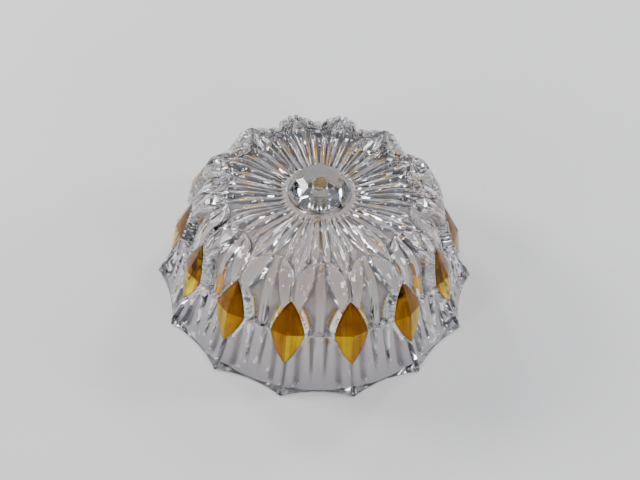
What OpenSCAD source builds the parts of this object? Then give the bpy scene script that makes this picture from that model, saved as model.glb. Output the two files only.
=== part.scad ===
// Low pressed-glass bell with fourteen petals, amber lozenges, a faceted knob
// and a short chain that carries the clapper.
// Frame: origin at the centre of the mouth, in the plane of the rim. +Z runs up the
// axis through the knob. -Y is the middle of the front petal. Millimetres.

/* [Bell] */
// Radius from the axis to the rim corners
rim_r = 60; // [58:0.5:64]
// Height of the knob seat above the rim plane
crown_z = 44.6; // [44.6:0.2:47]
// Thickness of the glass at the crown
crown_t = 5.2; // [4.8:0.1:5.4]
// Radius of the mouth opening at the rim
mouth_r = 54.4; // [53.5:0.1:54.6]
// Number of petals, and of the lozenges between them
sectors = 14; // [14:1:14]
// How far the rim dips in between two corners
scallop = 3.6; // [2.4:0.1:3.8]
// Height of the petal relief above the wall
petal_rise = 1.1; // [0.6:0.1:1.3]
// Radius of the hole through the crown
crown_hole_r = 2.6; // [2.4:0.1:3]

/* [Lozenges] */
// Half width of a lozenge
loz_w = 6.2; // [5:0.1:6.4]
// Half height of a lozenge, measured along the wall
loz_h = 13.3; // [11:0.1:13.4]
// Height of the centre of a lozenge above its edges
loz_rise = 1.8; // [1:0.1:2.2]
// Depth of the lozenge below its edges
loz_depth = 2.2; // [1.8:0.1:2.6]

/* [Crown rays] */
// Length of the leaf that runs out between two petals
long_ray = 25.6; // [24:0.2:26.4]
// Length of the rays that end on a petal
short_ray = 21.6; // [21.2:0.2:23]
// Half width of the long leaf
leaf_w = 3.3; // [2.8:0.1:3.4]
// Half width of a short ray
ray_w = 1.1; // [0.9:0.05:1.2]
// Height of the rays above the crown
ray_rise = 0.7; // [0.5:0.05:0.9]

/* [Knob] */
// Radius of the round foot of the knob
knob_foot_r = 11.6; // [11.4:0.1:11.8]
// Radius to the corners where the facets start
knob_r = 11.2; // [10.4:0.1:11.3]
// Radius to the corners at the top of the facets
knob_top_r = 8.4; // [7.6:0.1:9]
// Height of the knob from its seat to its table
knob_h = 8.2; // [7.8:0.1:9.5]
// Radius of the cemented socket in the knob
knob_bore_r = 2.75; // [2.7:0.05:3.2]

/* [Hanger] */
// Radius of the eye bolt's shank
bolt_r = 1.95; // [1.8:0.05:1.98]
// Radius of the eye's ring, to the middle of its wire
eye_r = 2.2; // [2.2:0.05:2.3]
// Radius of the eye's wire
eye_wire = 0.7; // [0.65:0.05:0.7]
// Width across the flats of the lock nut
nut_af = 7; // [6:0.1:8]

/* [Chain] */
// Radius of the links' wire
link_wire = 0.45; // [0.4:0.01:0.46]
// Radius of a link's round end, to the middle of its wire
link_r = 1.5; // [1.5:0.05:1.6]
// Length of a link's straight sides
link_s = 1.2; // [1.1:0.05:1.3]
// Play between two links
link_gap = 0.1; // [0.08:0.01:0.12]

/* [Clapper] */
// Radius of the clapper's ball
bead_r = 7; // [5:0.1:7.2]
// Radius of the clapper's wire
stem_r = 0.6; // [0.5:0.05:0.7]

/* [Hidden] */
$fn = 96;
pitch = 360 / sectors;
front = -90;
kr = rim_r / 60;
kz = crown_z / 44.6;

// Outline of the outside, from the knob seat over the shoulder to the rim.
outer_pts = [for (p = [[0, 44.6], [12.2, 44.6], [13, 45], [20, 45.7], [28, 46.2], [33, 46.1],
                       [37, 45.3], [40.4, 43.8], [43.2, 41.4], [45.1, 38.4], [46.5, 34.6],
                       [48.2, 28.5], [50, 21.5], [51.8, 15], [53.6, 10], [56.2, 5.2], [60, 1.2], [60, 0]])
             [p[0] * kr, p[1] * kz]];
// Outline of the inside, from the axis to the mouth.
in_z = crown_z - crown_t;
inner_pts = [for (p = [[0, 39.4], [28, 40], [33, 39.2], [37, 37.2], [39.8, 34.2], [41.6, 30],
                       [43.4, 23], [45.6, 15], [48.6, 7.6], [52.6, 2], [54.4, 0]])
             [p[0] * kr * (p[1] < 2.5 ? 1 + (mouth_r - 54.4) / 54.4 : 1), p[1] * in_z / 39.4]];

// A point list pushed out along its own normals.
function unit(v) = v / norm(v);
function nrm(p, i) = let (a = p[max(i - 1, 0)], b = p[min(i + 1, len(p) - 1)], t = unit(b - a)) [-t[1], t[0]];
function pushed(p, d) = [for (i = [0 : len(p) - 1])
    let (q = p[i] + d * nrm(p, i)) [i == 0 ? 0 : q[0], q[1]]];

// Middle of a lozenge, and how far its plane leans in.
loz_c = [50.55 * kr, 25.65 * kz];
loz_tilt = atan2(8.3 * kr, 25.3 * kz);

// Places down the axis.
gasket_t = 0.4;
knob_z = crown_z + gasket_t;
nut_top = in_z - 1.1;
nut_h = 2.3;
eye_z = nut_top - nut_h - 0.5 - eye_r;
pivot_1 = eye_z - eye_r;
link_len = 2 * link_r + link_s;
pivot_2 = pivot_1 + eye_wire + link_gap + link_wire - link_len;
pivot_3 = pivot_2 + 2 * link_wire + link_gap - link_len;
pivot_4 = pivot_3 + 2 * link_wire + link_gap - link_len;
loop_z = pivot_4 + 2 * link_wire + link_gap - link_r;
bead_top = loop_z - link_r - 1.55;
bead_z = bead_top - bead_r;

module at_petals() { for (k = [0 : sectors - 1]) rotate([0, 0, front + k * pitch]) children(); }
module at_lozenges() { for (k = [0 : sectors - 1]) rotate([0, 0, front + (k + 0.5) * pitch]) children(); }

// Local frame of a lozenge: X outwards, Y along the wall's girth, Z up the slope.
module loz_frame() { translate([loz_c[0], 0, loz_c[1]]) rotate([0, -loz_tilt, 0]) children(); }
module rhomb_bar(w, h, x0, x1)
    translate([x0, 0, 0]) rotate([90, 0, 90])
        linear_extrude(height = x1 - x0) polygon([[w, 0], [0, h], [-w, 0], [0, -h]]);

module outside(d) { rotate_extrude($fn = 180) polygon(concat(pushed(outer_pts, d), [[0, 0]])); }

// One petal outline, square to the shoulder.
module petal_bar()
    translate([46 * kr, 0, 38 * kz]) rotate([0, -45, 0]) translate([-12, 0, 0]) rotate([90, 0, 90])
        linear_extrude(height = 24) union() {
            translate([0, 6]) circle(r = 8.9);
            translate([-8.9, -13.6]) square([17.8, 19.6]);
        }

// One ray of the crown, pointed at both ends and widest at b of its length.
module ray_bar(l, w, b)
    translate([0, 0, 41]) linear_extrude(height = 8)
        polygon([[12.4, 0], [12.4 + l * b, w], [12.4 + l * (b + 0.2), w * 0.75], [12.4 + l, 0],
                 [12.4 + l * (b + 0.2), -w * 0.75], [12.4 + l * b, -w]]);

module bell_glass() {
    color([0.88, 0.88, 0.92, 0.4])
    difference() {
        union() {
            outside(0);
            difference() {
                intersection() {
                    outside(petal_rise);
                    at_petals() petal_bar();
                }
                at_lozenges() loz_frame() rhomb_bar(loz_w + 0.7, loz_h + 1.4, -8, 8);
            }
            intersection() {
                outside(ray_rise);
                union() {
                    at_lozenges() ray_bar(long_ray, leaf_w, 0.66);
                    at_petals() for (t = [-1, 1]) rotate([0, 0, t * pitch / 6]) ray_bar(short_ray, ray_w, 0.55);
                }
            }
        }
        // hollow
        rotate_extrude($fn = 180) polygon(concat([[0, -5]], inner_pts, [[mouth_r * kr, -5]]));
        // rim scallops
        at_petals() translate([rim_r - scallop + 43.5, 0, 0]) rotate([0, -9, 0]) translate([0, 0, -8])
            cylinder(h = 28, r = 43, $fn = 180);
        // lozenge pockets
        at_lozenges() loz_frame() rhomb_bar(loz_w + 0.05, loz_h + 0.1, -loz_depth, 9);
        translate([0, 0, 30]) cylinder(h = 20, r = crown_hole_r);
    }
}

module amber_lozenges() {
    color([0.85, 0.5, 0.05])
    at_lozenges() loz_frame() polyhedron(
        points = [[0, loz_w, 0], [0, 0, loz_h], [0, -loz_w, 0], [0, 0, -loz_h], [loz_rise, 0, 0],
                  [-loz_depth, loz_w, 0], [-loz_depth, 0, loz_h], [-loz_depth, -loz_w, 0], [-loz_depth, 0, -loz_h]],
        faces = [[4, 0, 1], [4, 1, 2], [4, 2, 3], [4, 3, 0],
                 [0, 5, 1], [5, 6, 1], [1, 6, 2], [6, 7, 2], [2, 7, 3], [7, 8, 3], [3, 8, 0], [8, 5, 0],
                 [5, 7, 6], [5, 8, 7]]);
}

module knob_glass() {
    foot_h = 1.2;
    rings = [[knob_r, foot_h - 0.3], [knob_r, foot_h + 0.2], [knob_top_r, knob_h - 0.9], [knob_top_r - 1.3, knob_h]];
    n = len(rings);
    color([0.9, 0.9, 0.94, 0.5])
    translate([0, 0, knob_z])
    difference() {
        union() {
            cylinder(h = foot_h, r = knob_foot_r);
            polyhedron(
                points = [for (q = rings) for (k = [0 : 7]) [q[0] * cos(k * 45 + 90), q[0] * sin(k * 45 + 90), q[1]]],
                faces = concat(
                    [[for (k = [0 : 7]) k]],
                    [[for (k = [7 : -1 : 0]) (n - 1) * 8 + k]],
                    [for (j = [0 : n - 2]) for (k = [0 : 7])
                        [j * 8 + k, (j + 1) * 8 + k, (j + 1) * 8 + (k + 1) % 8, j * 8 + (k + 1) % 8]]));
        }
        translate([0, 0, -1]) cylinder(h = 4.8, r = knob_bore_r);
    }
}

module knob_socket() {
    color([0.78, 0.6, 0.28])
    translate([0, 0, knob_z + 0.1]) difference() {
        cylinder(h = 3.5, r = knob_bore_r - 0.08);
        translate([0, 0, -1]) cylinder(h = 4, r = bolt_r + 0.08);
    }
}

module crown_gasket() {
    color([0.93, 0.93, 0.9])
    translate([0, 0, crown_z]) difference() {
        cylinder(h = gasket_t, r = knob_foot_r - 0.8);
        translate([0, 0, -1]) cylinder(h = 3, r = crown_hole_r);
    }
}

module eye_bolt() {
    color([0.78, 0.6, 0.28])
    union() {
        translate([0, 0, nut_top - nut_h - 0.7]) cylinder(h = knob_z + 2.7 - (nut_top - nut_h - 0.7), r = bolt_r);
        translate([0, 0, eye_z]) rotate([90, 0, 0]) rotate_extrude($fn = 64)
            translate([eye_r, 0]) circle(r = eye_wire, $fn = 32);
    }
}

module inner_gasket() {
    color([0.93, 0.93, 0.9])
    translate([0, 0, in_z - 0.6]) difference() {
        cylinder(h = 0.6, r = 7);
        translate([0, 0, -1]) cylinder(h = 3, r = bolt_r + 0.15);
    }
}

module washer() {
    color([0.8, 0.63, 0.32])
    translate([0, 0, in_z - 1.1]) difference() {
        cylinder(h = 0.5, r = 6.2);
        translate([0, 0, -1]) cylinder(h = 3, r = bolt_r + 0.1);
    }
}

module lock_nut() {
    color([0.8, 0.63, 0.32])
    translate([0, 0, nut_top - nut_h]) difference() {
        intersection() {
            cylinder(h = nut_h, r = nut_af / 2 / cos(30), $fn = 6);
            rotate_extrude($fn = 64) polygon([[0, 0], [nut_af / 2 - 0.1, 0], [nut_af / 2 / cos(30), 0.35],
                [nut_af / 2 / cos(30), nut_h], [0, nut_h]]);
        }
        translate([0, 0, -1]) cylinder(h = nut_h + 2, r = bolt_r + 0.06);
    }
}

// An oval link in the XZ plane whose top wire is centred link_r above the origin.
module half_ring(r, w) { rotate([90, 0, 0]) rotate_extrude(angle = 180, $fn = 64) translate([r, 0]) circle(r = w, $fn = 32); }
module link() {
    color([0.8, 0.63, 0.32])
    union() {
        half_ring(link_r, link_wire);
        translate([0, 0, -link_s]) rotate([180, 0, 0]) half_ring(link_r, link_wire);
        for (s = [-1, 1]) translate([s * link_r, 0, -link_s]) cylinder(h = link_s, r = link_wire, $fn = 32);
    }
}
module chain_link_1() translate([0, 0, pivot_2 + link_r + link_s]) rotate([0, 0, 90]) link();
module chain_link_2() translate([0, 0, pivot_3 + link_r + link_s]) link();
module chain_link_3() translate([0, 0, pivot_4 + link_r + link_s]) rotate([0, 0, 90]) link();

module clapper_stem() {
    color([0.8, 0.63, 0.32])
    union() {
        translate([0, 0, loop_z]) rotate([90, 0, 0]) rotate_extrude($fn = 64)
            translate([link_r, 0]) circle(r = link_wire, $fn = 32);
        translate([0, 0, bead_z - bead_r - 0.6]) cylinder(h = loop_z - link_r - (bead_z - bead_r - 0.6), r = stem_r);
    }
}

module clapper_bead() {
    color([0.92, 0.9, 0.88, 0.6])
    translate([0, 0, bead_z]) difference() {
        sphere(r = bead_r);
        translate([0, 0, -20]) cylinder(h = 40, r = stem_r + 0.1);
    }
}

module clapper_cap() {
    color([0.78, 0.6, 0.28])
    difference() {
        translate([0, 0, bead_z]) intersection() {
            rotate_extrude() polygon([[0, 0], [0, bead_r + 0.9], [1.4, bead_r + 0.9], [1.7, bead_r + 0.45],
                [3.1, bead_r + 0.1], [3.5, bead_r - 0.6], [3.5, 0]]);
            translate([0, 0, 3]) cylinder(h = 20, r = 12);
        }
        translate([0, 0, bead_z]) sphere(r = bead_r + 0.05);
        translate([0, 0, bead_z]) cylinder(h = 20, r = stem_r + 0.05);
    }
}

module clapper_foot() {
    color([0.78, 0.6, 0.28])
    difference() {
        translate([0, 0, bead_z]) intersection() {
            rotate_extrude() polygon([[0, 0], [2.2, 0], [2.2, -bead_r + 0.2], [1.5, -bead_r - 0.7],
                [0.9, -bead_r - 1], [0, -bead_r - 1]]);
            translate([0, 0, -20]) cylinder(h = 16, r = 12);
        }
        translate([0, 0, bead_z]) sphere(r = bead_r + 0.05);
        translate([0, 0, bead_z - bead_r - 0.65]) cylinder(h = 20, r = stem_r + 0.05);
    }
}

bell_glass();
amber_lozenges();
knob_glass();
knob_socket();
crown_gasket();
eye_bolt();
inner_gasket();
washer();
lock_nut();
chain_link_1();
chain_link_2();
chain_link_3();
clapper_stem();
clapper_bead();
clapper_cap();
clapper_foot();
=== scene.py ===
import bpy
import bmesh
import math
import numpy as np
from mathutils import Vector, Matrix


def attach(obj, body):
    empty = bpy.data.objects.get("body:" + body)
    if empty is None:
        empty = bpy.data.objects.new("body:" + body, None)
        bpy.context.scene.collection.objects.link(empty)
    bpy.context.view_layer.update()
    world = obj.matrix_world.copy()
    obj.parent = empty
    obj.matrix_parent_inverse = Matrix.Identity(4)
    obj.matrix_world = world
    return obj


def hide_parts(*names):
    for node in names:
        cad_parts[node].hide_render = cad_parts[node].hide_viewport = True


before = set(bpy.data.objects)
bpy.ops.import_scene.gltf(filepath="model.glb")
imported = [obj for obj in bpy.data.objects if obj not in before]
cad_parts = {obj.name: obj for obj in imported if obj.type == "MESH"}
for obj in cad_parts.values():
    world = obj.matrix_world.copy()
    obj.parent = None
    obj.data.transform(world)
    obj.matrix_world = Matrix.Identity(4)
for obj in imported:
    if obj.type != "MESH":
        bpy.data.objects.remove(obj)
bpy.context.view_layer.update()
MM = 0.001
SECT = 14
PITCH = 2 * math.pi / SECT
FRONT = -math.pi / 2            # the middle of the front petal


# ---------------------------------------------------------------- helpers
def smooth01(x):
    x = np.clip(x, 0.0, 1.0)
    return x * x * (3 - 2 * x)


def ramp(x, a, b):
    return smooth01((x - a) / (b - a))


def spline(pts, n_per=24, tension=0.5):
    """Centripetal Catmull-Rom through 2-D points, as a dense polyline."""
    p = np.array(pts, float)
    p = np.vstack([2 * p[0] - p[1], p, 2 * p[-1] - p[-2]])
    out = []
    for i in range(1, len(p) - 2):
        p0, p1, p2, p3 = p[i - 1], p[i], p[i + 1], p[i + 2]
        t0 = 0.0
        t1 = t0 + max(np.linalg.norm(p1 - p0), 1e-9) ** tension
        t2 = t1 + max(np.linalg.norm(p2 - p1), 1e-9) ** tension
        t3 = t2 + max(np.linalg.norm(p3 - p2), 1e-9) ** tension
        for t in np.linspace(t1, t2, n_per, endpoint=False):
            a1 = (t1 - t) / (t1 - t0) * p0 + (t - t0) / (t1 - t0) * p1
            a2 = (t2 - t) / (t2 - t1) * p1 + (t - t1) / (t2 - t1) * p2
            a3 = (t3 - t) / (t3 - t2) * p2 + (t - t2) / (t3 - t2) * p3
            b1 = (t2 - t) / (t2 - t0) * a1 + (t - t0) / (t2 - t0) * a2
            b2 = (t3 - t) / (t3 - t1) * a2 + (t - t1) / (t3 - t1) * a3
            out.append((t2 - t) / (t2 - t1) * b1 + (t - t1) / (t2 - t1) * b2)
    out.append(p[-2])
    return np.array(out)


def arclen(p):
    return np.concatenate([[0], np.cumsum(np.linalg.norm(np.diff(p, axis=0), axis=1))])


def mesh_object(name, verts, faces, mats=(), smooth=True, sharp=None, mat_index=None):
    me = bpy.data.meshes.new(name)
    me.from_pydata([tuple(v) for v in verts], [], [tuple(int(i) for i in f) for f in faces])
    me.update()
    me.polygons.foreach_set("use_smooth", [smooth] * len(me.polygons))
    if mat_index is not None:
        me.polygons.foreach_set("material_index", [int(i) for i in mat_index])
    for m in mats:
        me.materials.append(m)
    if sharp is not None:
        me.set_sharp_from_angle(angle=math.radians(sharp))
    ob = bpy.data.objects.new(name, me)
    bpy.context.collection.objects.link(ob)
    return ob


def grid_faces(rows, cols, wrap_rows=False, wrap_cols=True):
    i = np.arange(rows if wrap_rows else rows - 1)
    j = np.arange(cols if wrap_cols else cols - 1)
    I, J = np.meshgrid(i, j, indexing="ij")
    I2, J2 = (I + 1) % rows, (J + 1) % cols
    return np.stack([I * cols + J, I * cols + J2, I2 * cols + J2, I2 * cols + J], axis=-1).reshape(-1, 4)


def fix_normals(ob):
    bm = bmesh.new()
    bm.from_mesh(ob.data)
    bmesh.ops.recalc_face_normals(bm, faces=bm.faces)
    if bm.calc_volume(signed=True) < 0:
        bmesh.ops.reverse_faces(bm, faces=bm.faces)
    bm.to_mesh(ob.data)
    bm.free()


def lathe(name, prof, cols=96, mats=(), sharp=32, radius_at=None):
    """Closed solid of revolution from (r, z) in mm. A point with r = 0 is a pole."""
    th = np.linspace(0, 2 * math.pi, cols, endpoint=False)
    verts, rings = [], []
    for k, (r, z) in enumerate(prof):
        if r <= 1e-9:
            rings.append([len(verts)])
            verts.append((0, 0, z * MM))
        else:
            f = radius_at(k, th) if radius_at else np.ones(cols)
            rings.append(list(range(len(verts), len(verts) + cols)))
            verts += [(r * f[j] * math.cos(t) * MM, r * f[j] * math.sin(t) * MM, z * MM) for j, t in enumerate(th)]
    closed = len(rings[0]) > 1 and len(rings[-1]) > 1
    faces = []
    pairs = list(zip(rings, rings[1:] + ([rings[0]] if closed else [])))
    if not closed:
        pairs = list(zip(rings[:-1], rings[1:]))
    for a, b in pairs:
        for j in range(cols):
            k = (j + 1) % cols
            if len(a) == 1 and len(b) == 1:
                continue
            if len(a) == 1:
                faces.append((a[0], b[k], b[j]))
            elif len(b) == 1:
                faces.append((a[j], a[k], b[0]))
            else:
                faces.append((a[j], a[k], b[k], b[j]))
    ob = mesh_object(name, verts, faces, mats)
    fix_normals(ob)
    if sharp is not None:
        ob.data.set_sharp_from_angle(angle=math.radians(sharp))
    return ob


def sweep(name, path, radius, cols=16, closed=True, mats=(), cap=True):
    """A round wire along a list of points in mm (parallel transport)."""
    P = np.array(path, float)
    n = len(P)
    rad = np.full(n, radius, float) if np.isscalar(radius) else np.array(radius, float)
    if closed:
        T = np.roll(P, -1, 0) - np.roll(P, 1, 0)
    else:
        T = np.gradient(P, axis=0)
    T /= np.linalg.norm(T, axis=1)[:, None]
    N = np.zeros_like(P)
    ref = np.array([0.123, 0.456, 0.881])
    N[0] = np.cross(T[0], ref); N[0] /= np.linalg.norm(N[0])
    for i in range(1, n):
        v = N[i - 1] - T[i] * np.dot(N[i - 1], T[i])
        N[i] = v / np.linalg.norm(v)
    if closed:
        v = N[-1] - T[0] * np.dot(N[-1], T[0]); v /= np.linalg.norm(v)
        B0 = np.cross(T[0], N[0])
        twist = math.atan2(np.dot(v, B0), np.dot(v, N[0]))
        for i in range(n):
            a = -twist * i / n
            B = np.cross(T[i], N[i])
            N[i] = N[i] * math.cos(a) + B * math.sin(a)
    th = np.linspace(0, 2 * math.pi, cols, endpoint=False)
    verts = []
    for i in range(n):
        B = np.cross(T[i], N[i])
        for t in th:
            verts.append((P[i] + rad[i] * (N[i] * math.cos(t) + B * math.sin(t))) * MM)
    faces = [tuple(f) for f in grid_faces(n, cols, wrap_rows=closed)]
    if not closed and cap:
        a = len(verts); verts.append(P[0] * MM)
        b = len(verts); verts.append(P[-1] * MM)
        for j in range(cols):
            k = (j + 1) % cols
            faces.append((a, k, j))
            faces.append((b, (n - 1) * cols + j, (n - 1) * cols + k))
    ob = mesh_object(name, verts, faces, mats)
    fix_normals(ob)
    return ob


# ---------------------------------------------------------------- materials
def new_mat(name):
    m = bpy.data.materials.new(name)
    m.use_nodes = True
    m.node_tree.nodes.clear()
    return m, m.node_tree.nodes, m.node_tree.links


def glass_mat(name, color, ior=1.52, rough=(0.006, 0.05), wave=0.0, shade=(0.93, 0.93, 0.95), noise_scale=220.0, dust=0.0):
    """Clear pressed glass: fire-polished with faint flow waves, slightly rougher where it has been handled,
    and lamps reach what is behind it."""
    m, N, L = new_mat(name)
    out = N.new("ShaderNodeOutputMaterial")
    p = N.new("ShaderNodeBsdfPrincipled")
    p.inputs["Base Color"].default_value = (*color, 1)
    p.inputs["IOR"].default_value = ior
    p.inputs["Transmission Weight"].default_value = 1.0
    tc = N.new("ShaderNodeTexCoord")
    n1 = N.new("ShaderNodeTexNoise"); n1.inputs["Scale"].default_value = noise_scale
    n1.inputs["Detail"].default_value = 4.0; n1.inputs["Roughness"].default_value = 0.55
    L.new(tc.outputs["Object"], n1.inputs["Vector"])
    cr = N.new("ShaderNodeMapRange")
    cr.inputs["From Min"].default_value = 0.42; cr.inputs["From Max"].default_value = 0.78
    cr.inputs["To Min"].default_value = rough[0]; cr.inputs["To Max"].default_value = rough[1]
    L.new(n1.outputs["Fac"], cr.inputs["Value"])
    L.new(cr.outputs["Result"], p.inputs["Roughness"])
    n2 = N.new("ShaderNodeTexNoise"); n2.inputs["Scale"].default_value = 95.0
    n2.inputs["Detail"].default_value = 2.0
    L.new(tc.outputs["Object"], n2.inputs["Vector"])
    n3 = N.new("ShaderNodeTexNoise"); n3.inputs["Scale"].default_value = 900.0
    n3.inputs["Detail"].default_value = 1.0
    L.new(tc.outputs["Object"], n3.inputs["Vector"])
    mx = N.new("ShaderNodeMath"); mx.operation = "MULTIPLY_ADD"
    mx.inputs[1].default_value = 0.08
    L.new(n3.outputs["Fac"], mx.inputs[0]); L.new(n2.outputs["Fac"], mx.inputs[2])
    b = N.new("ShaderNodeBump"); b.inputs["Strength"].default_value = 0.35
    b.inputs["Distance"].default_value = wave
    L.new(mx.outputs[0], b.inputs["Height"])
    L.new(b.outputs["Normal"], p.inputs["Normal"])
    tr = N.new("ShaderNodeBsdfTransparent")
    lw = N.new("ShaderNodeLayerWeight"); lw.inputs["Blend"].default_value = 0.5
    sr = N.new("ShaderNodeValToRGB")
    sr.color_ramp.elements[0].position = 0.12; sr.color_ramp.elements[0].color = (*shade, 1)
    sr.color_ramp.elements[1].position = 0.75; sr.color_ramp.elements[1].color = (shade[0] * 0.1, shade[1] * 0.1, shade[2] * 0.11, 1)
    e = sr.color_ramp.elements.new(0.38); e.color = (shade[0] * 0.62, shade[1] * 0.62, shade[2] * 0.63, 1)
    L.new(b.outputs["Normal"], lw.inputs["Normal"])
    L.new(lw.outputs["Facing"], sr.inputs["Fac"]); L.new(sr.outputs["Color"], tr.inputs["Color"])
    lp = N.new("ShaderNodeLightPath")
    mix = N.new("ShaderNodeMixShader")
    L.new(lp.outputs["Is Shadow Ray"], mix.inputs["Fac"])
    L.new(p.outputs[0], mix.inputs[1]); L.new(tr.outputs[0], mix.inputs[2])
    L.new(mix.outputs[0], out.inputs["Surface"])
    return m, p, tc


def amber_mat():
    """Amber-stained glass running from brown over orange to yellow, with a faint cloudiness. Its facets carry painted
    light and shade:
    each quarter of a lozenge has its own tone, the upper facets darker, the lower ones lighter, and a dark rim is
    painted round the outline."""
    m, p, tc = glass_mat("amber_glass", (0.8, 0.3, 0.01), wave=0.00006, rough=(0.008, 0.05), shade=(0.62, 0.30, 0.03))
    p.inputs["Specular IOR Level"].default_value = 0.4
    p.inputs["Specular Tint"].default_value = (1.0, 0.50, 0.04, 1)
    N, L = m.node_tree.nodes, m.node_tree.links
    # painted light and shade per facet, added to the amber's own depth of colour
    at = N.new("ShaderNodeAttribute"); at.attribute_name = "stain_and_facet_light"
    nz = N.new("ShaderNodeTexNoise"); nz.inputs["Scale"].default_value = 190.0; nz.inputs["Detail"].default_value = 3.0
    L.new(tc.outputs["Object"], nz.inputs["Vector"])
    ad = N.new("ShaderNodeMath"); ad.operation = "MULTIPLY_ADD"; ad.inputs[1].default_value = 0.34
    L.new(nz.outputs["Fac"], ad.inputs[0])
    sb = N.new("ShaderNodeMath"); sb.operation = "SUBTRACT"; sb.inputs[1].default_value = 0.17
    # needles of lighter and darker stain that run down the lower facets, different in every lozenge
    lu = N.new("ShaderNodeAttribute"); lu.attribute_name = "lozenge_uv"
    mp = N.new("ShaderNodeMapping"); mp.inputs["Scale"].default_value = (3.4, 0.42, 1.0); mp.inputs["Rotation"].default_value = (0, 0, 0.05)
    L.new(lu.outputs["Vector"], mp.inputs["Vector"])
    n2 = N.new("ShaderNodeTexNoise"); n2.inputs["Scale"].default_value = 1.0; n2.inputs["Detail"].default_value = 2.5
    L.new(mp.outputs["Vector"], n2.inputs["Vector"])
    st = N.new("ShaderNodeMapRange"); st.inputs["From Min"].default_value = 0.32; st.inputs["From Max"].default_value = 0.68
    st.inputs["To Min"].default_value = -0.14; st.inputs["To Max"].default_value = 0.24
    L.new(n2.outputs["Fac"], st.inputs["Value"])
    sx = N.new("ShaderNodeSeparateXYZ"); L.new(lu.outputs["Vector"], sx.inputs["Vector"])
    low = N.new("ShaderNodeMapRange"); low.inputs["From Min"].default_value = 0.25; low.inputs["From Max"].default_value = -0.08
    low.inputs["To Min"].default_value = 0.3; low.inputs["To Max"].default_value = 1.0
    L.new(sx.outputs["Y"], low.inputs["Value"])
    mu = N.new("ShaderNodeMath"); mu.operation = "MULTIPLY_ADD"
    L.new(st.outputs["Result"], mu.inputs[0]); L.new(low.outputs["Result"], mu.inputs[1])
    L.new(at.outputs["Fac"], mu.inputs[2])
    L.new(mu.outputs[0], ad.inputs[2]); L.new(ad.outputs[0], sb.inputs[0])
    cr = N.new("ShaderNodeValToRGB")
    cr.color_ramp.elements[0].position = 0.0; cr.color_ramp.elements[0].color = (1.0, 0.72, 0.0, 1)
    cr.color_ramp.elements[1].position = 1.0; cr.color_ramp.elements[1].color = (0.02, 0.003, 0.0, 1)
    e = cr.color_ramp.elements.new(0.10); e.color = (1.0, 0.50, 0.0, 1)
    e = cr.color_ramp.elements.new(0.34); e.color = (0.52, 0.115, 0.0, 1)
    e = cr.color_ramp.elements.new(0.68); e.color = (0.11, 0.015, 0.0, 1)
    L.new(sb.outputs[0], cr.inputs["Fac"]); L.new(cr.outputs["Color"], p.inputs["Base Color"])
    return m


def joint_mat():
    """The fused joint between an amber lozenge and the clear glass under it: light passes straight on."""
    m, N, L = new_mat("fused_joint")
    out = N.new("ShaderNodeOutputMaterial")
    tr = N.new("ShaderNodeBsdfTransparent")
    L.new(tr.outputs[0], out.inputs["Surface"])
    return m


def brass_mat(name, base=(0.74, 0.53, 0.22), rough=0.24, line_axis=None):
    m, N, L = new_mat(name)
    out = N.new("ShaderNodeOutputMaterial")
    p = N.new("ShaderNodeBsdfPrincipled")
    p.inputs["Metallic"].default_value = 1.0
    tc = N.new("ShaderNodeTexCoord")
    n1 = N.new("ShaderNodeTexNoise"); n1.inputs["Scale"].default_value = 400.0
    n1.inputs["Detail"].default_value = 5.0
    L.new(tc.outputs["Object"], n1.inputs["Vector"])
    ramp_c = N.new("ShaderNodeValToRGB")
    ramp_c.color_ramp.elements[0].position = 0.3
    ramp_c.color_ramp.elements[0].color = (base[0] * 0.62, base[1] * 0.55, base[2] * 0.45, 1)
    ramp_c.color_ramp.elements[1].position = 0.62
    ramp_c.color_ramp.elements[1].color = (*base, 1)
    L.new(n1.outputs["Fac"], ramp_c.inputs["Fac"])
    L.new(ramp_c.outputs["Color"], p.inputs["Base Color"])
    mr = N.new("ShaderNodeMapRange")
    mr.inputs["To Min"].default_value = rough * 0.7; mr.inputs["To Max"].default_value = rough * 1.8
    n2 = N.new("ShaderNodeTexNoise"); n2.inputs["Scale"].default_value = 1500.0
    n2.inputs["Detail"].default_value = 3.0
    if line_axis is not None:
        mp = N.new("ShaderNodeMapping")
        sc = [1.0, 1.0, 1.0]; sc[line_axis] = 0.06
        mp.inputs["Scale"].default_value = sc
        L.new(tc.outputs["Object"], mp.inputs["Vector"]); L.new(mp.outputs[0], n2.inputs["Vector"])
    else:
        L.new(tc.outputs["Object"], n2.inputs["Vector"])
    L.new(n2.outputs["Fac"], mr.inputs["Value"])
    L.new(mr.outputs["Result"], p.inputs["Roughness"])
    b = N.new("ShaderNodeBump"); b.inputs["Strength"].default_value = 0.2
    b.inputs["Distance"].default_value = 0.00003
    L.new(n2.outputs["Fac"], b.inputs["Height"]); L.new(b.outputs[0], p.inputs["Normal"])
    L.new(p.outputs[0], out.inputs["Surface"])
    return m


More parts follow.
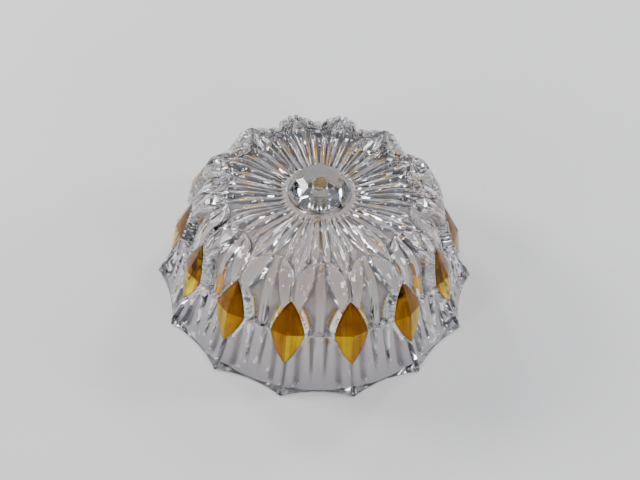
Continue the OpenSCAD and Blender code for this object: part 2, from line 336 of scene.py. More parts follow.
def gasket_mat():
    m, N, L = new_mat("clear_gasket")
    out = N.new("ShaderNodeOutputMaterial")
    p = N.new("ShaderNodeBsdfPrincipled")
    p.inputs["Base Color"].default_value = (0.95, 0.95, 0.94, 1)
    p.inputs["IOR"].default_value = 1.47
    p.inputs["Transmission Weight"].default_value = 1.0
    tc = N.new("ShaderNodeTexCoord")
    n1 = N.new("ShaderNodeTexNoise"); n1.inputs["Scale"].default_value = 700.0
    L.new(tc.outputs["Object"], n1.inputs["Vector"])
    mr = N.new("ShaderNodeMapRange")
    mr.inputs["To Min"].default_value = 0.02; mr.inputs["To Max"].default_value = 0.12
    L.new(n1.outputs["Fac"], mr.inputs["Value"]); L.new(mr.outputs[0], p.inputs["Roughness"])
    b = N.new("ShaderNodeBump"); b.inputs["Strength"].default_value = 0.3; b.inputs["Distance"].default_value = 0.00004
    L.new(n1.outputs["Fac"], b.inputs["Height"]); L.new(b.outputs[0], p.inputs["Normal"])
    tr = N.new("ShaderNodeBsdfTransparent"); tr.inputs["Color"].default_value = (0.9, 0.9, 0.9, 1)
    lp = N.new("ShaderNodeLightPath"); mix = N.new("ShaderNodeMixShader")
    L.new(lp.outputs["Is Shadow Ray"], mix.inputs["Fac"])
    L.new(p.outputs[0], mix.inputs[1]); L.new(tr.outputs[0], mix.inputs[2])
    L.new(mix.outputs[0], out.inputs["Surface"])
    return m


def pressed_mat():
    """The bell's clear glass, with painted shade and light: the base colour is greyer down in the grooves and brighter
    on the crests, standing in for the shade and shine of the relief.
    """
    m, p, tc = glass_mat("bell_glass_clear", (0.80, 0.795, 0.83), wave=0.00003, shade=(0.16, 0.16, 0.17))
    N, L = m.node_tree.nodes, m.node_tree.links
    # painted shade and light: the glass colour darkens toward the grooves (1) and brightens on the crests (0)
    at = N.new("ShaderNodeAttribute"); at.attribute_name = "painted_relief_shade"
    cr = N.new("ShaderNodeValToRGB")
    cr.color_ramp.elements[0].position = 0.12; cr.color_ramp.elements[0].color = (0.98, 0.975, 0.99, 1)
    cr.color_ramp.elements[1].position = 0.97; cr.color_ramp.elements[1].color = (0.17, 0.165, 0.175, 1)
    e = cr.color_ramp.elements.new(0.42); e.color = (0.86, 0.855, 0.885, 1)
    e = cr.color_ramp.elements.new(0.57); e.color = (0.76, 0.755, 0.79, 1)
    e = cr.color_ramp.elements.new(0.76); e.color = (0.44, 0.435, 0.455, 1)
    L.new(at.outputs["Fac"], cr.inputs["Fac"]); L.new(cr.outputs["Color"], p.inputs["Base Color"])
    return m


M_GLASS = pressed_mat()
M_KNOB = glass_mat("knob_glass_clear", (0.965, 0.96, 0.97), wave=0.00005, rough=(0.004, 0.03), shade=(0.16, 0.16, 0.17))[0]
M_BEAD = glass_mat("bead_glass_clear", (0.97, 0.965, 0.97), wave=0.00005, rough=(0.005, 0.04), shade=(0.16, 0.16, 0.17))[0]
M_AMBER = amber_mat()
M_JOINT = joint_mat()
M_BRASS = brass_mat("turned_brass", line_axis=2)
M_WIRE = brass_mat("brass_wire", base=(0.8, 0.6, 0.28), rough=0.18)
M_GASKET = gasket_mat()

# ---------------------------------------------------------------- the bell's glass
OUT = [(12.6, 44.9), (13.2, 45.05), (20, 45.7), (28, 46.2), (33, 46.1), (37, 45.3), (40.4, 43.8), (43.2, 41.4),
       (45.1, 38.4), (46.5, 34.6), (48.2, 28.5), (50, 21.5), (51.8, 15), (53.6, 10), (56.2, 5.2), (59.0, 1.8), (59.8, 0.9)]
dense = spline(OUT)
S = arclen(dense) + 12.6          # arc length, counted as if from the axis


def at_s(s):
    return np.interp(s, S, dense[:, 0]), np.interp(s, S, dense[:, 1])


def s_of_z(z):
    k = dense[:, 1][::-1]
    ok = S > 34
    return float(np.interp(z, dense[ok][:, 1][::-1], S[ok][::-1]))


S_TOP = s_of_z(38.3)
S_BOT = s_of_z(13.0)
S_GEM = (S_TOP + S_BOT) / 2
GH = (S_BOT - S_TOP) / 2          # a lozenge's half height along the wall
GW = 6.2
S_LEDGE = S_TOP + 15.0
PW = 1.26                       # outline of a lozenge: 1 has straight sides, 2 is an ellipse
S_END = S[-1]

COLS = 44 * SECT
rows_s = np.concatenate([
    np.linspace(12.6, 33.0, 23, endpoint=False),
    np.linspace(33.0, S_LEDGE - 0.5, 90, endpoint=False),
    np.linspace(S_LEDGE - 0.5, S_LEDGE + 0.6, 6, endpoint=False),
    np.linspace(S_LEDGE + 0.6, S_END, 28),
])
theta = FRONT + (np.arange(COLS) / COLS) * 2 * math.pi
phi = ((theta - FRONT + PITCH / 2) % PITCH) - PITCH / 2         # from the middle of the petal
def leaf(u, s, s0, s1, w0, w1, peak=0.72, tip=1.8):
    """1 at a leaf's spine, 0 at its edge, negative outside; and the leaf's half width."""
    t = (s - s0) / (s1 - s0)
    w = np.where(t < peak, w0 + (w1 - w0) * np.clip(t / peak, 0, 1) ** 1.1,
                 w1 * (1 - np.clip((t - peak) / (1 - peak), 0, 1) ** tip))
    w = np.where((t < 0) | (t > 1), 1e-3, np.maximum(w, 1e-3))
    return 1 - np.abs(u) / w, w


def add_ridge(H, q, w, height, floor, crown=0.6, spine=0.0):
    """A rounded leaf standing on the floor, with a crease along its spine."""
    prof = (1 - (1 - np.clip(q, 0, 1)) ** 2) ** crown - spine * np.clip((q - 0.62) / 0.38, 0, 1)
    return np.where(q > 0, np.maximum(H, floor + height * prof), H)


S_A = 33.8                                                      # where the petals begin


def relief(SS, PH):
    """Height of the pressed pattern above the plain wall, in mm."""
    RB, ZB = at_s(SS)
    U = RB * PH                                                 # along the girth, from the petal's middle
    HALF = RB * PITCH / 2
    UG = HALF - np.abs(U)                                       # along the girth, from the lozenge's middle
    AU = np.abs(U)
    # rays of the crown, pressed between sharp grooves
    FLOOR_H = -1.7
    H = np.full_like(SS, FLOOR_H)
    hub = 12.6 * PITCH / 6
    q, w = leaf(UG, SS, 12.6, 41.4, hub * 0.82, 3.05, 0.60, 1.55)
    H = add_ridge(H, q, w, np.minimum(2.25, 0.70 * w + 0.5), FLOOR_H, crown=0.42, spine=0.5)
    off = RB * PITCH / 6
    q, w = leaf(AU - off, SS, 12.6, 34.6, hub * 0.82, 1.5, 0.62, 1.7)
    H = add_ridge(H, q, w, np.minimum(1.9, 0.72 * w + 0.45), FLOOR_H, crown=0.45, spine=0.3)
    H = np.where(SS < 14.5, H * ramp(SS, 12.6, 14.5), H)

    # petals: cupped, highest where two of them meet, with a crisp round top
    s_a = S_A
    ARCH = HALF - 0.2
    tt = np.clip((s_a + 9.0 - SS) / 9.0, 0, 1)
    edge = ARCH * np.sqrt(np.clip(1 - tt ** 2.1, 0, 1))
    d_edge = np.where(SS > s_a, edge - AU, -5.0)
    gem_half = GW * np.clip(1 - np.clip(np.abs(SS - S_GEM) / GH, 0, 1) ** PW, 0, 1) ** (1 / PW)
    d_gem = UG - gem_half                                           # from the edge of the lozenge
    in_gem_span = (SS > S_TOP - 1.5) & (SS < S_BOT + 1.5)
    q_u = AU / np.maximum(HALF, 1)
    cup_in = ramp(SS, s_a, s_a + 5.0)
    cup = 0.1 + (-0.9 - 1.35 * (1 - q_u ** 1.2)) * cup_in

    # two leaning lobes with rounded backs and pointed feet
    s_in = np.array([34.2, 36.0, 39.5, 43.0, 46.5, 50.0, 53.0, 55.2])
    u_in = np.array([0.9, 1.5, 2.2, 3.2, 4.5, 5.7, 6.7, 7.5])
    u_out = np.array([1.2, 6.6, 9.4, 10.2, 10.4, 10.0, 9.0, 7.6])
    ui = np.interp(SS, s_in, u_in)
    uo = np.minimum(np.interp(SS, s_in, u_out), np.minimum(HALF - 0.15, edge - 0.35))
    mid, hw = (ui + uo) / 2, np.maximum((uo - ui) / 2, 1e-3)
    ql = np.where((SS > s_in[0]) & (SS < s_in[-1]) & (uo > ui), 1 - np.abs(AU - mid) / hw, -1)
    xi = np.clip((AU - ui) / 1.25, 0, 1)
    xo = np.clip((uo - AU) / 0.4, 0, 1)
    xm = np.clip((AU - ui) / np.maximum(uo - ui, 1e-3), 0, 1)
    lobe = np.where(ql > 0, (1.45 * (1 - (1 - xi) ** 2) ** 0.6 * np.clip(hw / 1.4, 0, 1) ** 0.6 + 0.2 * np.sin(np.pi * xm)) * (0.7 + 0.3 * xo), 0)

    # the fluted middle: an upright flat rib and a widening groove on each side of it
    RIB = 1.5
    free = np.where(SS < s_in[-1], np.maximum(ui, 1.0), np.minimum(HALF - gem_half - 1.3, 7.4))
    gx = np.clip((AU - RIB) / np.maximum(free - RIB, 1e-3), 0, 1)
    groove = np.where((AU > RIB) & (AU < free), -1.6 * np.sin(np.pi * gx) ** 0.42 * np.clip((free - RIB) / 2.0, 0, 1), 0)
    rib_top = np.where(AU <= RIB, 0.45 * (1 - (AU / RIB) ** 6), 0)
    split = -0.8 * np.exp(-(AU / 0.32) ** 2) * ramp(SS, 52.0, 56.0)
    # one more slanted flute beside the lozenge's upper edge
    q2 = 1 - np.abs(d_gem - 1.75) / 0.95
    slant = np.where((q2 > 0) & (SS > S_TOP + 4) & (SS < S_LEDGE), -1.0 * (1 - (1 - np.clip(q2, 0, 1)) ** 2) ** 0.7 * ramp(SS, S_TOP + 4, S_TOP + 7), 0)
    mid_zone = ramp(SS, 34.5, 38)
    P = cup + np.where(ql > 0, lobe, (groove + rib_top + split) * mid_zone + slant)
    # the petals end on a ledge; under it the skirt is nearly plain
    run_out = 1 - ramp(SS, S_LEDGE - 0.25, S_LEDGE + 0.3)
    skirt = 0.30
    P = np.where(SS > S_LEDGE - 0.3, skirt + (P - skirt) * run_out, P)
    rise = ramp(d_edge, 0.0, 0.75)
    H = np.where(SS > s_a, np.where((d_edge > 0) | (SS > s_a + 9.0), H * (1 - rise) + P * rise, H), H)
    H = np.where(SS > s_a + 9.0, np.where(d_edge > 0.75, P, H), H)

    # sharp pressed lines round the arch and along each lobe
    arch_line = np.clip(1 - np.abs(d_edge + 0.1) / 0.65, 0, 1) * ((SS > s_a - 0.6) & (SS < s_a + 9.5)) * ramp(UG, 0.9, 2.2)
    H = H - 1.0 * arch_line
    lobe_line = np.where((ql > -0.4) & (SS > s_in[0] + 1) & (SS < s_in[-1]), np.clip(1 - np.abs(AU - ui + 0.25) / 0.6, 0, 1), 0)
    H = H - 0.8 * lobe_line
    # a pointed crest above each lozenge, where two petals meet
    crest = np.clip(1 - UG / 3.0, 0, 1) * ramp(SS, s_a + 3.0, s_a + 7.5) * (1 - ramp(SS, S_TOP - 1.5, S_TOP + 2.5))
    H = H + 1.5 * crest

    # the collar of clear glass round each lozenge
    collar = np.exp(-((d_gem - 0.6) / 0.34) ** 2) * in_gem_span
    fade = ramp(SS, S_TOP - 1.5, S_TOP + 2.5) * (1 - ramp(SS, S_BOT - 1.5, S_BOT + 1.5))
    H = np.where(in_gem_span & (d_gem < 0.6), H * (1 - fade) + 0.25 * fade, H)
    H = H + collar * fade * np.maximum(0.55 - 0.5 * H, 0.25)
    pocket = in_gem_span & (d_gem < 0.12)
    # the rib from the lozenge's foot down to the rim's corner
    rib_w = 1.5 + 1.9 * ramp(SS, S_BOT - 1, S_END)
    rib = np.clip(1 - UG / rib_w, 0, 1) * ramp(SS, S_BOT - 2.0, S_BOT + 2.0)
    H = H + 0.7 * rib ** 0.8
    # hollows in the skirt: two long points under each petal, a wide shallow one beside each rib
    t_s = np.clip((SS - S_LEDGE - 0.3) / (S_END - 2.2 - S_LEDGE), 0, 1)
    below = np.clip(t_s * 16, 0, 1) * (SS < S_END - 1)
    lw_ = 1.55 * np.clip(1 - t_s, 0, 1) ** 0.7 + 1e-3
    lance = np.clip(1 - np.abs(AU - 2.5) / lw_, 0, 1)
    H = H - 1.95 * lw_ * lance * below
    ww = np.clip((HALF - 4.6) * 0.5 * (1 - 0.35 * t_s), 0.3, 4)
    wide = np.clip(1 - ((AU - (HALF + 2.2) * 0.5 - 0.4) / (ww * 0.62)) ** 2, 0, 1)
    H = H - 1.2 * wide ** 0.7 * below * (1 - ramp(SS, S_END - 5, S_END - 1.5)) * (d_gem > 0.9)
    # no groove goes so deep that the wall behind it gets thin
    deep = np.maximum(-2.9 - H, 0)
    return np.where(H < -2.9, -2.9 - 0.8 * (1 - np.exp(-deep / 0.8)), H)


SS, PH = np.meshgrid(rows_s, phi, indexing="ij")
RB, ZB = at_s(SS)
row_gap = np.gradient(rows_s)[:, None]
H = np.zeros_like(SS)
for a_ in (-0.36, 0.0, 0.36):                                   # averaged over each cell of the grid
    for b_ in (-0.36, 0.0, 0.36):
        ph = PH + b_ * 2 * math.pi / COLS
        ph = np.where(ph > PITCH / 2, PITCH - ph, np.where(ph < -PITCH / 2, -PITCH - ph, ph))
        H += relief(np.clip(SS + a_ * row_gap, 12.6, S_END), ph) / 9

# base shape: corners at the rim
c = 60 - 3.6 + 43.0
rho = c * np.cos(PH) - np.sqrt(43.0 ** 2 - (c * np.sin(PH)) ** 2)
g = np.clip((RB - 52.6) / (59.9 - 52.6), 0, 1)
RB2 = RB - (60 - rho) * g
# outward normals of the meridian
dr = np.gradient(np.interp(rows_s, S, dense[:, 0]), rows_s)
dz = np.gradient(np.interp(rows_s, S, dense[:, 1]), rows_s)
ln = np.hypot(dr, dz)
NR, NZ = (-dz / ln)[:, None], (dr / ln)[:, None]
Hs = H * (1 - 0.85 * ramp(SS, S_END - 2.2, S_END)) * 1.0
R3 = RB2 + NR * Hs
Z3 = ZB + NZ * Hs

# seat of the lozenge: a flat plane just under its back
GC_R, GC_Z = 50.55, 25.65
TILT = math.atan2(8.3, 25.3)
n_r, n_z = math.cos(TILT), math.sin(TILT)
BACK = -0.75


def gem_local(x, y, z, k):
    a = FRONT + (k + 0.5) * PITCH
    rx = x * math.cos(a) + y * math.sin(a)
    ty = -x * math.sin(a) + y * math.cos(a)
    w_ = (rx - GC_R) * n_r + (z - GC_Z) * n_z
    v_ = -(rx - GC_R) * n_z + (z - GC_Z) * n_r
    return ty, v_, w_


TH = np.broadcast_to(theta[None, :], SS.shape)
X3, Y3 = R3 * np.cos(TH), R3 * np.sin(TH)
kk = np.floor((TH - FRONT) / PITCH).astype(int)
ga = FRONT + (kk + 0.5) * PITCH
rx = X3 * np.cos(ga) + Y3 * np.sin(ga)
ty = -X3 * np.sin(ga) + Y3 * np.cos(ga)
wv = (rx - GC_R) * n_r + (Z3 - GC_Z) * n_z
vv = -(rx - GC_R) * n_z + (Z3 - GC_Z) * n_r
u_line = GW * np.clip(1 - (np.clip(np.abs(vv), 0, 13.3) / 13.3) ** PW, 0, 1) ** (1 / PW)
du = np.abs(ty) - u_line
col = RB2 * 2 * math.pi / COLS
on_gem = np.abs(vv) < 13.2
seat = on_gem & (du < -0.5 * col)
snap = on_gem & ~seat & (du < 0.5 * col)
ty = np.where(snap, np.sign(ty) * u_line, ty)
wn = np.where(seat, BACK - 0.03, np.where(snap, -0.09, wv))
rx2 = GC_R + wn * n_r - vv * n_z
z2 = GC_Z + wn * n_z + vv * n_r
move = seat | snap
X3 = np.where(move, rx2 * np.cos(ga) - ty * np.sin(ga), X3)
Y3 = np.where(move, rx2 * np.sin(ga) + ty * np.cos(ga), Y3)
Z3 = np.where(move, z2, Z3)

rows = [np.stack([X3[i], Y3[i], Z3[i]], axis=-1) for i in range(len(rows_s))]


def ring(r, z):
    r = np.broadcast_to(np.asarray(r, float), (COLS,))
    return np.stack([r * np.cos(theta), r * np.sin(theta), np.full(COLS, float(z))], axis=-1)


rim_out = (c * np.cos(phi) - np.sqrt(43.0 ** 2 - (c * np.sin(phi)) ** 2))
under = [ring(rim_out - 0.05, 0.45), ring(rim_out - 0.35, 0.0), ring(54.9, 0.0)]
IN = [(54.45, 0.35), (52.6, 2), (48.6, 7.6), (45.6, 15), (43.4, 23), (41.6, 30), (39.8, 34.2), (37, 37.2), (33, 39.2), (28, 39.9), (7, 39.42)]
din = spline(IN)
si = arclen(din)
NC = COLS // 4
th_c = theta[::4]


def cring(r, z):
    return np.stack([r * np.cos(th_c), r * np.sin(th_c), np.full(NC, float(z))], axis=-1)


inner = [cring(54.7, 0.0)] + [cring(np.interp(t, si, din[:, 0]), np.interp(t, si, din[:, 1])) for t in np.linspace(0, si[-1], 26)]
inner += [cring(2.9, 39.4), cring(2.6, 39.7), cring(2.6, 44.3), cring(2.9, 44.6), cring(11.6, 44.6)]
outer = [ring(11.9, 44.6)] + rows + under
V = np.concatenate(outer + inner) * MM
nf = len(outer) * COLS
F_out = grid_faces(len(outer), COLS)
F_in = grid_faces(len(inner), NC) + nf
seat_full = np.zeros((len(outer), COLS), bool)
seat_full[1:1 + len(rows)] = seat
sf = seat_full.reshape(-1)
faces = [tuple(f) for f in F_out] + [tuple(f) for f in F_in]
mi = list(sf[F_out].any(axis=1).astype(int)) + [0] * len(F_in)
o_last, i_first, i_last = (len(outer) - 1) * COLS, nf, nf + (len(inner) - 1) * NC
for j in range(NC):
    j2 = (j + 1) % NC
    f = [o_last + (4 * j + k) % COLS for k in range(5)]
    faces += [(f[0], f[1], i_first + j), (f[1], f[2], i_first + j), (f[2], i_first + j2, i_first + j),
              (f[2], f[3], i_first + j2), (f[3], f[4], i_first + j2)]
    g_ = [(4 * j + k) % COLS for k in range(5)]
    faces += [(g_[1], g_[0], i_last + j), (g_[2], g_[1], i_last + j), (i_last + j2, g_[2], i_last + j),
              (g_[3], g_[2], i_last + j2), (g_[4], g_[3], i_last + j2)]
    mi += [0] * 10
glass = mesh_object("bell_body_glass", V, faces, (M_GLASS, M_JOINT), mat_index=mi)


def blurred(A, n):
    for _ in range(n):
        A = 0.25 * np.roll(A, 1, 1) + 0.5 * A + 0.25 * np.roll(A, -1, 1)
        E = np.vstack([A[:1], A, A[-1:]])
        A = 0.25 * E[:-2] + 0.5 * A + 0.25 * E[2:]
    return A


# painted shade and light for the glass colour: how deep each point lies in the pattern, 0 on a crest, 0.5 on the
# plain, 1 in a groove
fine, broad = blurred(H, 7) - blurred(H, 1), blurred(H, 60) - blurred(H, 1)
gain = 0.5 + 0.65 * (1 - ramp(SS, 32, 38)) + 0.5 * ramp(SS, S_LEDGE - 0.5, S_LEDGE + 1.5)
relief_shade = np.clip(0.5 + gain * fine + 0.26 * broad, 0, 1)
relief_shade = relief_shade * ramp(SS, 12.8, 14.5) + 0.5 * (1 - ramp(SS, 12.8, 14.5))
relief_shade_all = np.full(len(V), 0.5, np.float32)
relief_shade_all[COLS:COLS + relief_shade.size] = relief_shade.reshape(-1)
# the painted shade and light goes onto the mesh as a point attribute
at = glass.data.attributes.new("painted_relief_shade", "FLOAT", "POINT")
at.data.foreach_set("value", relief_shade_all)
fix_normals(glass)
glass.data.set_sharp_from_angle(angle=math.radians(38))
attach(glass, "bell"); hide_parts("bell_glass")


# ---------------------------------------------------------------- amber lozenges
def gem_mesh():
    na, nr = 64, 7
    verts, faces, mats, stain_and_facet_light, luv = [], [], [], [], []
    ts = np.linspace(0, 2 * math.pi, na, endpoint=False)
    for k in range(SECT):
        a = FRONT + (k + 0.5) * PITCH
        ca, sa = math.cos(a), math.sin(a)

        def put(u, v_, w_):
            rr = GC_R + w_ * n_r - v_ * n_z
            zz = GC_Z + w_ * n_z + v_ * n_r
            luv.append((u / GW + 5.0 * k, v_ / 13.3, 0.37 * k))
            return ((rr * ca - u * sa) * MM, (rr * sa + u * ca) * MM, zz * MM)

        base = len(verts)
        outline = []
        for t in ts:
            cu, cv = math.cos(t), math.sin(t)
            f = (abs(cu) ** PW + abs(cv) ** PW) ** (-1 / PW)
            outline.append((GW * cu * f, 13.3 * cv * f))
        verts.append(put(0, 0, 2.1))
        levels = [(0.12, 2.1 * 0.88), (0.35, 2.1 * 0.66), (0.6, 2.1 * 0.41), (0.88, 2.1 * 0.14), (0.965, 0.06), (1.0, -0.08), (1.0, -0.45), (0.985, BACK)]
        for (f, w_) in levels:
            for (u, v_) in outline:
                verts.append(put(u * f, v_ * f, w_))
        back = len(verts)
        verts.append(put(0, 0, BACK))
        for j in range(na):
            j2 = (j + 1) % na
            tm = (j + 0.5) / na * 4                             # quarter of the lozenge
            # painted light and shade: each quarter of the lozenge gets its own tone, darker upper facets and lighter
            # lower ones
            facet = (0.62, 0.74, 0.42, 0.05)[int(tm)] if k % 2 else (0.74, 0.60, 0.12, 0.34)[int(tm)]
            faces.append((base, base + 1 + j, base + 1 + j2)); mats.append(0); stain_and_facet_light.append(facet)
            for l in range(len(levels) - 1):
                p0 = base + 1 + l * na
                faces.append((p0 + j, p0 + na + j, p0 + na + j2, p0 + j2))
                mats.append(0 if l < 5 else 1)
                # painted shade: the facets darken toward the outline and the rim round the lozenge is painted nearly
                # black
                stain_and_facet_light.append(facet if l < 3 else (facet + 0.12 if l == 3 else 0.92))
            p0 = base + 1 + (len(levels) - 1) * na
            faces.append((p0 + j, back, p0 + j2)); mats.append(1); stain_and_facet_light.append(0.5)
    ob = mesh_object("amber_lozenge_set", verts, faces, (M_AMBER, M_JOINT), mat_index=mats)
    at = ob.data.attributes.new("stain_and_facet_light", "FLOAT", "FACE")
    at.data.foreach_set("value", stain_and_facet_light)
    at = ob.data.attributes.new("lozenge_uv", "FLOAT_VECTOR", "POINT")
    at.data.foreach_set("vector", [c_ for t3 in luv for c_ in t3])
    fix_normals(ob)
    ob.data.set_sharp_from_angle(angle=math.radians(9))
    return ob


gems = gem_mesh()
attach(gems, "bell"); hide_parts("amber_lozenges")

# ---------------------------------------------------------------- knob
KZ = 45.0
knob_prof = [(0, 3.8), (2.6, 3.8), (2.75, 3.65), (2.75, 0.3), (3.0, 0.0), (11.3, 0.0), (11.6, 0.3), (11.6, 0.9), (11.35, 1.2),
             (11.2, 1.22), (11.15, 1.5), (8.7, 6.75), (6.4, 8.2), (0, 8.2)]


def oct_at(k, th):
    if k < 9 or k > 12:
        return np.ones_like(th)
    a = (th - FRONT + math.pi / 8) % (math.pi / 4) - math.pi / 8
    return math.cos(math.pi / 8) / np.cos(math.pi / 8 - np.abs(a))


knob = lathe("knob_faceted", [(r, z + KZ) for r, z in knob_prof], cols=128, mats=(M_KNOB,), sharp=None, radius_at=oct_at)
knob.data.set_sharp_from_angle(angle=math.radians(14))
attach(knob, "bell"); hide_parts("knob_glass")

# ---------------------------------------------------------------- hardware
socket = lathe("socket_sleeve", [(0, 48.1), (2.03, 48.1), (2.03, 45.3), (2.2, 45.12), (2.5, 45.12), (2.66, 45.25), (2.66, 46.0), (2.52, 46.2), (2.66, 46.4),
                                 (2.66, 47.2), (2.52, 47.4), (2.66, 47.6), (2.66, 48.35), (2.45, 48.58), (0, 48.6)], cols=64, mats=(M_BRASS,))
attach(socket, "bell"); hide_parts("knob_socket")
for nm, node, prof_ in (
    ("crown_gasket_ring", "crown_gasket", [(2.7, 44.62), (10.7, 44.62), (10.8, 44.8), (10.7, 44.98), (2.7, 44.98)]),
    ("inner_gasket_ring", "inner_gasket", [(2.2, 38.82), (6.9, 38.82), (7.0, 39.1), (6.9, 39.38), (2.2, 39.38)])):
    o = lathe(nm, prof_, cols=72, mats=(M_GASKET,))
    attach(o, "bell"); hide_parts(node)
wash = lathe("washer_brass", [(2.1, 38.33), (2.2, 38.3), (6.0, 38.3), (6.2, 38.42), (6.2, 38.68), (6.05, 38.8), (2.2, 38.8), (2.1, 38.77)], cols=72, mats=(M_BRASS,))
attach(wash, "bell"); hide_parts("washer")


def hex_at(k, th):
    if k in (0, 1, 2, 9):
        return np.ones_like(th)
    f = (3.5 / np.cos((th + math.pi / 6) % (math.pi / 3) - math.pi / 6)) / nut_r[k]
    return np.minimum(f, 1.0)


nut_prof = [(2.02, 36.3), (2.3, 36.0), (3.35, 36.0), (3.75, 36.25), (4.03, 36.45), (4.04, 36.6), (4.04, 37.75), (4.03, 37.9), (3.75, 38.05), (3.35, 38.28), (2.3, 38.28), (2.02, 38.0)]
nut_r = [p_[0] for p_ in nut_prof]
nut = lathe("lock_nut_hex", nut_prof, cols=96, mats=(M_BRASS,), sharp=24,
            radius_at=lambda k, th: (np.minimum(1.0, (3.5 / np.cos((th + math.pi / 6) % (math.pi / 3) - math.pi / 6)) / nut_r[k]) if nut_r[k] > 3.5 else np.ones_like(th)))
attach(nut, "bell"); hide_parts("lock_nut")

# the eye bolt: a threaded shank and a ring
zs = np.arange(35.35, 47.65, 0.09)
cols = 40
verts, faces = [], []
for i, z in enumerate(zs):
    for j in range(cols):
        t = 2 * math.pi * j / cols
        ph = ((z / 0.7) - t / (2 * math.pi)) % 1.0
        tri = abs(ph - 0.5) * 2
        depth = 0.34 * min(1.0, max(0.0, (tri - 0.12) / 0.76))
        fade = min(1.0, (z - 35.35) / 0.5, (47.65 - z) / 0.6)
        r = (1.93 - depth) if z > 36.1 else 1.75
        r = r * (0.86 + 0.14 * max(0.0, fade))
        verts.append((r * math.cos(t) * MM, r * math.sin(t) * MM, z * MM))
faces = [tuple(f) for f in grid_faces(len(zs), cols)]
a = len(verts); verts.append((0, 0, zs[0] * MM)); b = len(verts); verts.append((0, 0, zs[-1] * MM))
for j in range(cols):
    faces.append((a, (j + 1) % cols, j)); faces.append((b, (len(zs) - 1) * cols + j, (len(zs) - 1) * cols + (j + 1) % cols))
shank = mesh_object("eye_bolt_shank", verts, faces, (M_BRASS,))
fix_normals(shank); shank.data.set_sharp_from_angle(angle=math.radians(50))
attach(shank, "bell"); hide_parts("eye_bolt")
EYE_Z, EYE_R = 33.3, 2.2
path = [(EYE_R * math.sin(t), 0, EYE_Z + EYE_R * math.cos(t)) for t in np.linspace(0, 2 * math.pi, 64, endpoint=False)]
eye = sweep("eye_bolt_ring", path, 0.69, cols=20, mats=(M_WIRE,))
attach(eye, "bell"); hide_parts("eye_bolt")


def link_path(cx, cz_top, plane, r=1.5, s_=1.2, n=22):
    pts = []
    for t in np.linspace(0, math.pi, n):
        pts.append((r * math.cos(t), cz_top + r * math.sin(t)))
    for t in np.linspace(0, 1, 5)[1:-1]:
        pts.append((-r, cz_top - s_ * t))
    for t in np.linspace(math.pi, 2 * math.pi, n):
        pts.append((r * math.cos(t), cz_top - s_ + r * math.sin(t)))
    for t in np.linspace(0, 1, 5)[1:-1]:
        pts.append((r, cz_top - s_ + s_ * t))
    return [(x, 0, z) if plane == "xz" else (0, x, z) for x, z in pts]


P1, P2, P3, P4 = 31.1, 28.15, 24.95, 21.75
for k, (low, plane) in enumerate(((P2, "yz"), (P3, "xz"), (P4, "yz")), 1):
    o = sweep(f"chain_link_wire_{k}", link_path(0, low + 1.5 + 1.2, plane), 0.445, cols=18, mats=(M_WIRE,))
    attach(o, f"link_{k}"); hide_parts(f"chain_link_{k}")

# clapper: wire loop wound round its own stem, cap, glass ball, stop
LOOP_Z = 21.25
loop = [(1.5 * math.sin(t), 0, LOOP_Z + 1.5 * math.cos(t)) for t in np.linspace(math.pi, -math.pi + 0.15, 46)]
o = sweep("clapper_wire", [(0, 0, 3.75), (0, 0, 8.0), (0, 0, 14.0), (0, 0, 18.0), (0, 0, 19.2), (0, 0, 19.6)], 0.45, cols=18, closed=False, mats=(M_WIRE,))
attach(o, "clapper"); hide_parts("clapper_stem")
o = sweep("clapper_loop", [(1.5 * math.sin(t), 0, LOOP_Z + 1.5 * math.cos(t)) for t in np.linspace(0, 2 * math.pi, 56, endpoint=False)], 0.445, cols=18, mats=(M_WIRE,))
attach(o, "clapper"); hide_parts("clapper_stem")
B_Z, B_R = 11.2, 7.0
prof_b = [(0.7, B_Z + 6.93)] + [(B_R * math.sin(t), B_Z + B_R * math.cos(t)) for t in np.linspace(0.13, math.pi - 0.13, 56)] + [(0.7, B_Z - 6.93)]
bead = lathe("clapper_ball", prof_b, cols=96, mats=(M_BEAD,), sharp=50)
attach(bead, "clapper"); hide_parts("clapper_bead")


def sph(r, d=0.06):
    return B_Z + math.sqrt((B_R + d) ** 2 - r * r)


cap_prof = [(0.66, sph(0.66)), (0.66, 19.0), (0.9, 19.15), (1.25, 19.1), (1.45, 18.95), (1.5, 18.75), (1.85, 18.62), (2.6, 18.5), (3.0, 18.3), (3.3, 17.95), (3.42, 17.6), (3.4, sph(3.4) + 0.02), (2.4, sph(2.4)), (1.5, sph(1.5))]
cap = lathe("clapper_cap_cup", cap_prof, cols=64, mats=(M_BRASS,), sharp=40)
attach(cap, "clapper"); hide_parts("clapper_cap")
f0 = lambda r: B_Z - math.sqrt((B_R + 0.06) ** 2 - r * r)
foot_prof = [(0.66, f0(0.66)), (1.4, f0(1.4)), (2.1, f0(2.1)), (2.18, 4.25), (2.0, 3.95), (1.55, 3.6), (1.4, 3.4), (0.95, 3.25), (0, 3.22)]
foot = lathe("clapper_stop", [(0, 3.62)] + foot_prof[:0] + [(0.6, 3.62), (0.6, f0(0.66) - 0.0)] + foot_prof[1:], cols=56, mats=(M_BRASS,), sharp=40)
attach(foot, "clapper"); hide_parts("clapper_foot")

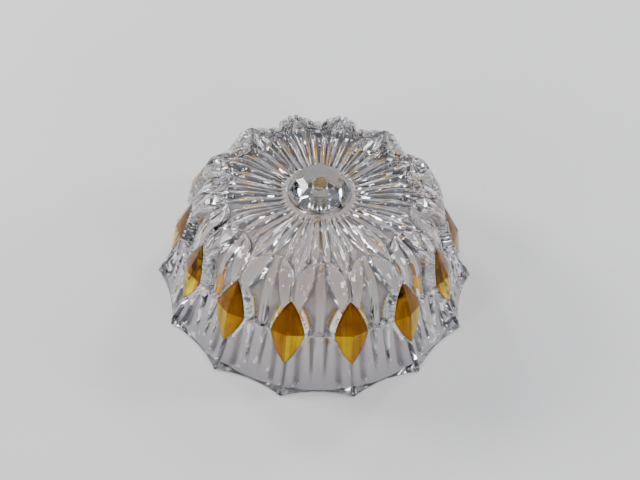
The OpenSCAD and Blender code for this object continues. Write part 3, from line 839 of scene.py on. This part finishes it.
# ---------------------------------------------------------------- floor, light, camera
bpy.ops.mesh.primitive_plane_add(size=8.0, location=(0, 0, -0.00012))   # a hair under the rim, as air is
floor = bpy.context.object
floor.name = "floor_plane"
m, N, L = new_mat("pale_floor")
out = N.new("ShaderNodeOutputMaterial"); p = N.new("ShaderNodeBsdfPrincipled")
tc = N.new("ShaderNodeTexCoord"); nz = N.new("ShaderNodeTexNoise"); nz.inputs["Scale"].default_value = 6.0
nz.inputs["Detail"].default_value = 6.0
L.new(tc.outputs["Object"], nz.inputs["Vector"])
cr = N.new("ShaderNodeValToRGB")
cr.color_ramp.elements[0].color = (0.60, 0.60, 0.61, 1); cr.color_ramp.elements[1].color = (0.66, 0.66, 0.665, 1)
L.new(nz.outputs["Fac"], cr.inputs["Fac"]); L.new(cr.outputs[0], p.inputs["Base Color"])
p.inputs["Roughness"].default_value = 0.75
L.new(p.outputs[0], out.inputs["Surface"])
floor.data.materials.append(m)

w = bpy.data.worlds.new("studio"); bpy.context.scene.world = w
w.use_nodes = True
N, L = w.node_tree.nodes, w.node_tree.links
N.clear()
out = N.new("ShaderNodeOutputWorld"); bg = N.new("ShaderNodeBackground")
tc = N.new("ShaderNodeTexCoord"); sep = N.new("ShaderNodeSeparateXYZ")
cr = N.new("ShaderNodeValToRGB")
L.new(tc.outputs["Generated"], sep.inputs[0]); L.new(sep.outputs["Z"], cr.inputs["Fac"])
cr.color_ramp.elements[0].position = 0.0; cr.color_ramp.elements[0].color = (0.085, 0.09, 0.105, 1)
cr.color_ramp.elements[1].position = 1.0; cr.color_ramp.elements[1].color = (0.60, 0.62, 0.66, 1)
e = cr.color_ramp.elements.new(0.35); e.color = (0.14, 0.15, 0.17, 1)
e = cr.color_ramp.elements.new(0.75); e.color = (0.22, 0.235, 0.26, 1)
L.new(cr.outputs[0], bg.inputs["Color"]); bg.inputs["Strength"].default_value = 1.0
L.new(bg.outputs[0], out.inputs["Surface"])


def area(name, loc, target, size, power, color=(1, 1, 1), shape="RECTANGLE", size_y=None):
    d = bpy.data.lights.new(name, "AREA")
    d.shape = shape; d.size = size
    if size_y: d.size_y = size_y
    d.energy = power; d.color = color
    o = bpy.data.objects.new(name, d)
    bpy.context.collection.objects.link(o)
    o.location = loc
    o.rotation_mode = "QUATERNION"
    o.rotation_quaternion = (Vector(target) - Vector(loc)).to_track_quat("-Z", "Y")
    return o


c0 = (0, 0, 0.03)
area("key_box", (-0.74, 0.29, 0.46), c0, 0.30, 7.0, (1, 0.985, 0.96), size_y=0.22)
area("window_right", (0.76, 0.10, 0.38), c0, 0.14, 4.0, (0.96, 0.98, 1.0), size_y=0.36)
area("back_left", (-0.44, 0.68, 0.60), c0, 0.20, 3.6, (1, 1, 1), size_y=0.16)
area("back_right", (0.46, 0.66, 0.62), c0, 0.14, 3.4, (1, 1, 1), size_y=0.24)
area("overhead", (0.05, 0.05, 0.95), c0, 0.34, 3.0, (1, 1, 1), size_y=0.10)
area("front_left", (-0.60, -0.55, 0.48), c0, 0.12, 2.4, (1, 1, 1), size_y=0.24)
area("front_right", (0.52, -0.66, 0.42), c0, 0.10, 2.0, (1, 1, 1), size_y=0.3)

cam_d = bpy.data.cameras.new("camera")
cam = bpy.data.objects.new("camera", cam_d)
bpy.context.collection.objects.link(cam)
cam_d.sensor_width = 36.0
cam_d.lens = 87.6532
cam_d.clip_start, cam_d.clip_end = 0.01, 20.0
R = Matrix(((0.99897, -0.015538, -0.042642), (-0.016389, 0.752655, -0.658211), (0.042322, 0.658231, 0.751625)))
cam.rotation_mode = "QUATERNION"
cam.rotation_quaternion = R.to_quaternion()
cam.location = (-0.02376, -0.38547, 0.45936)
bpy.context.scene.camera = cam
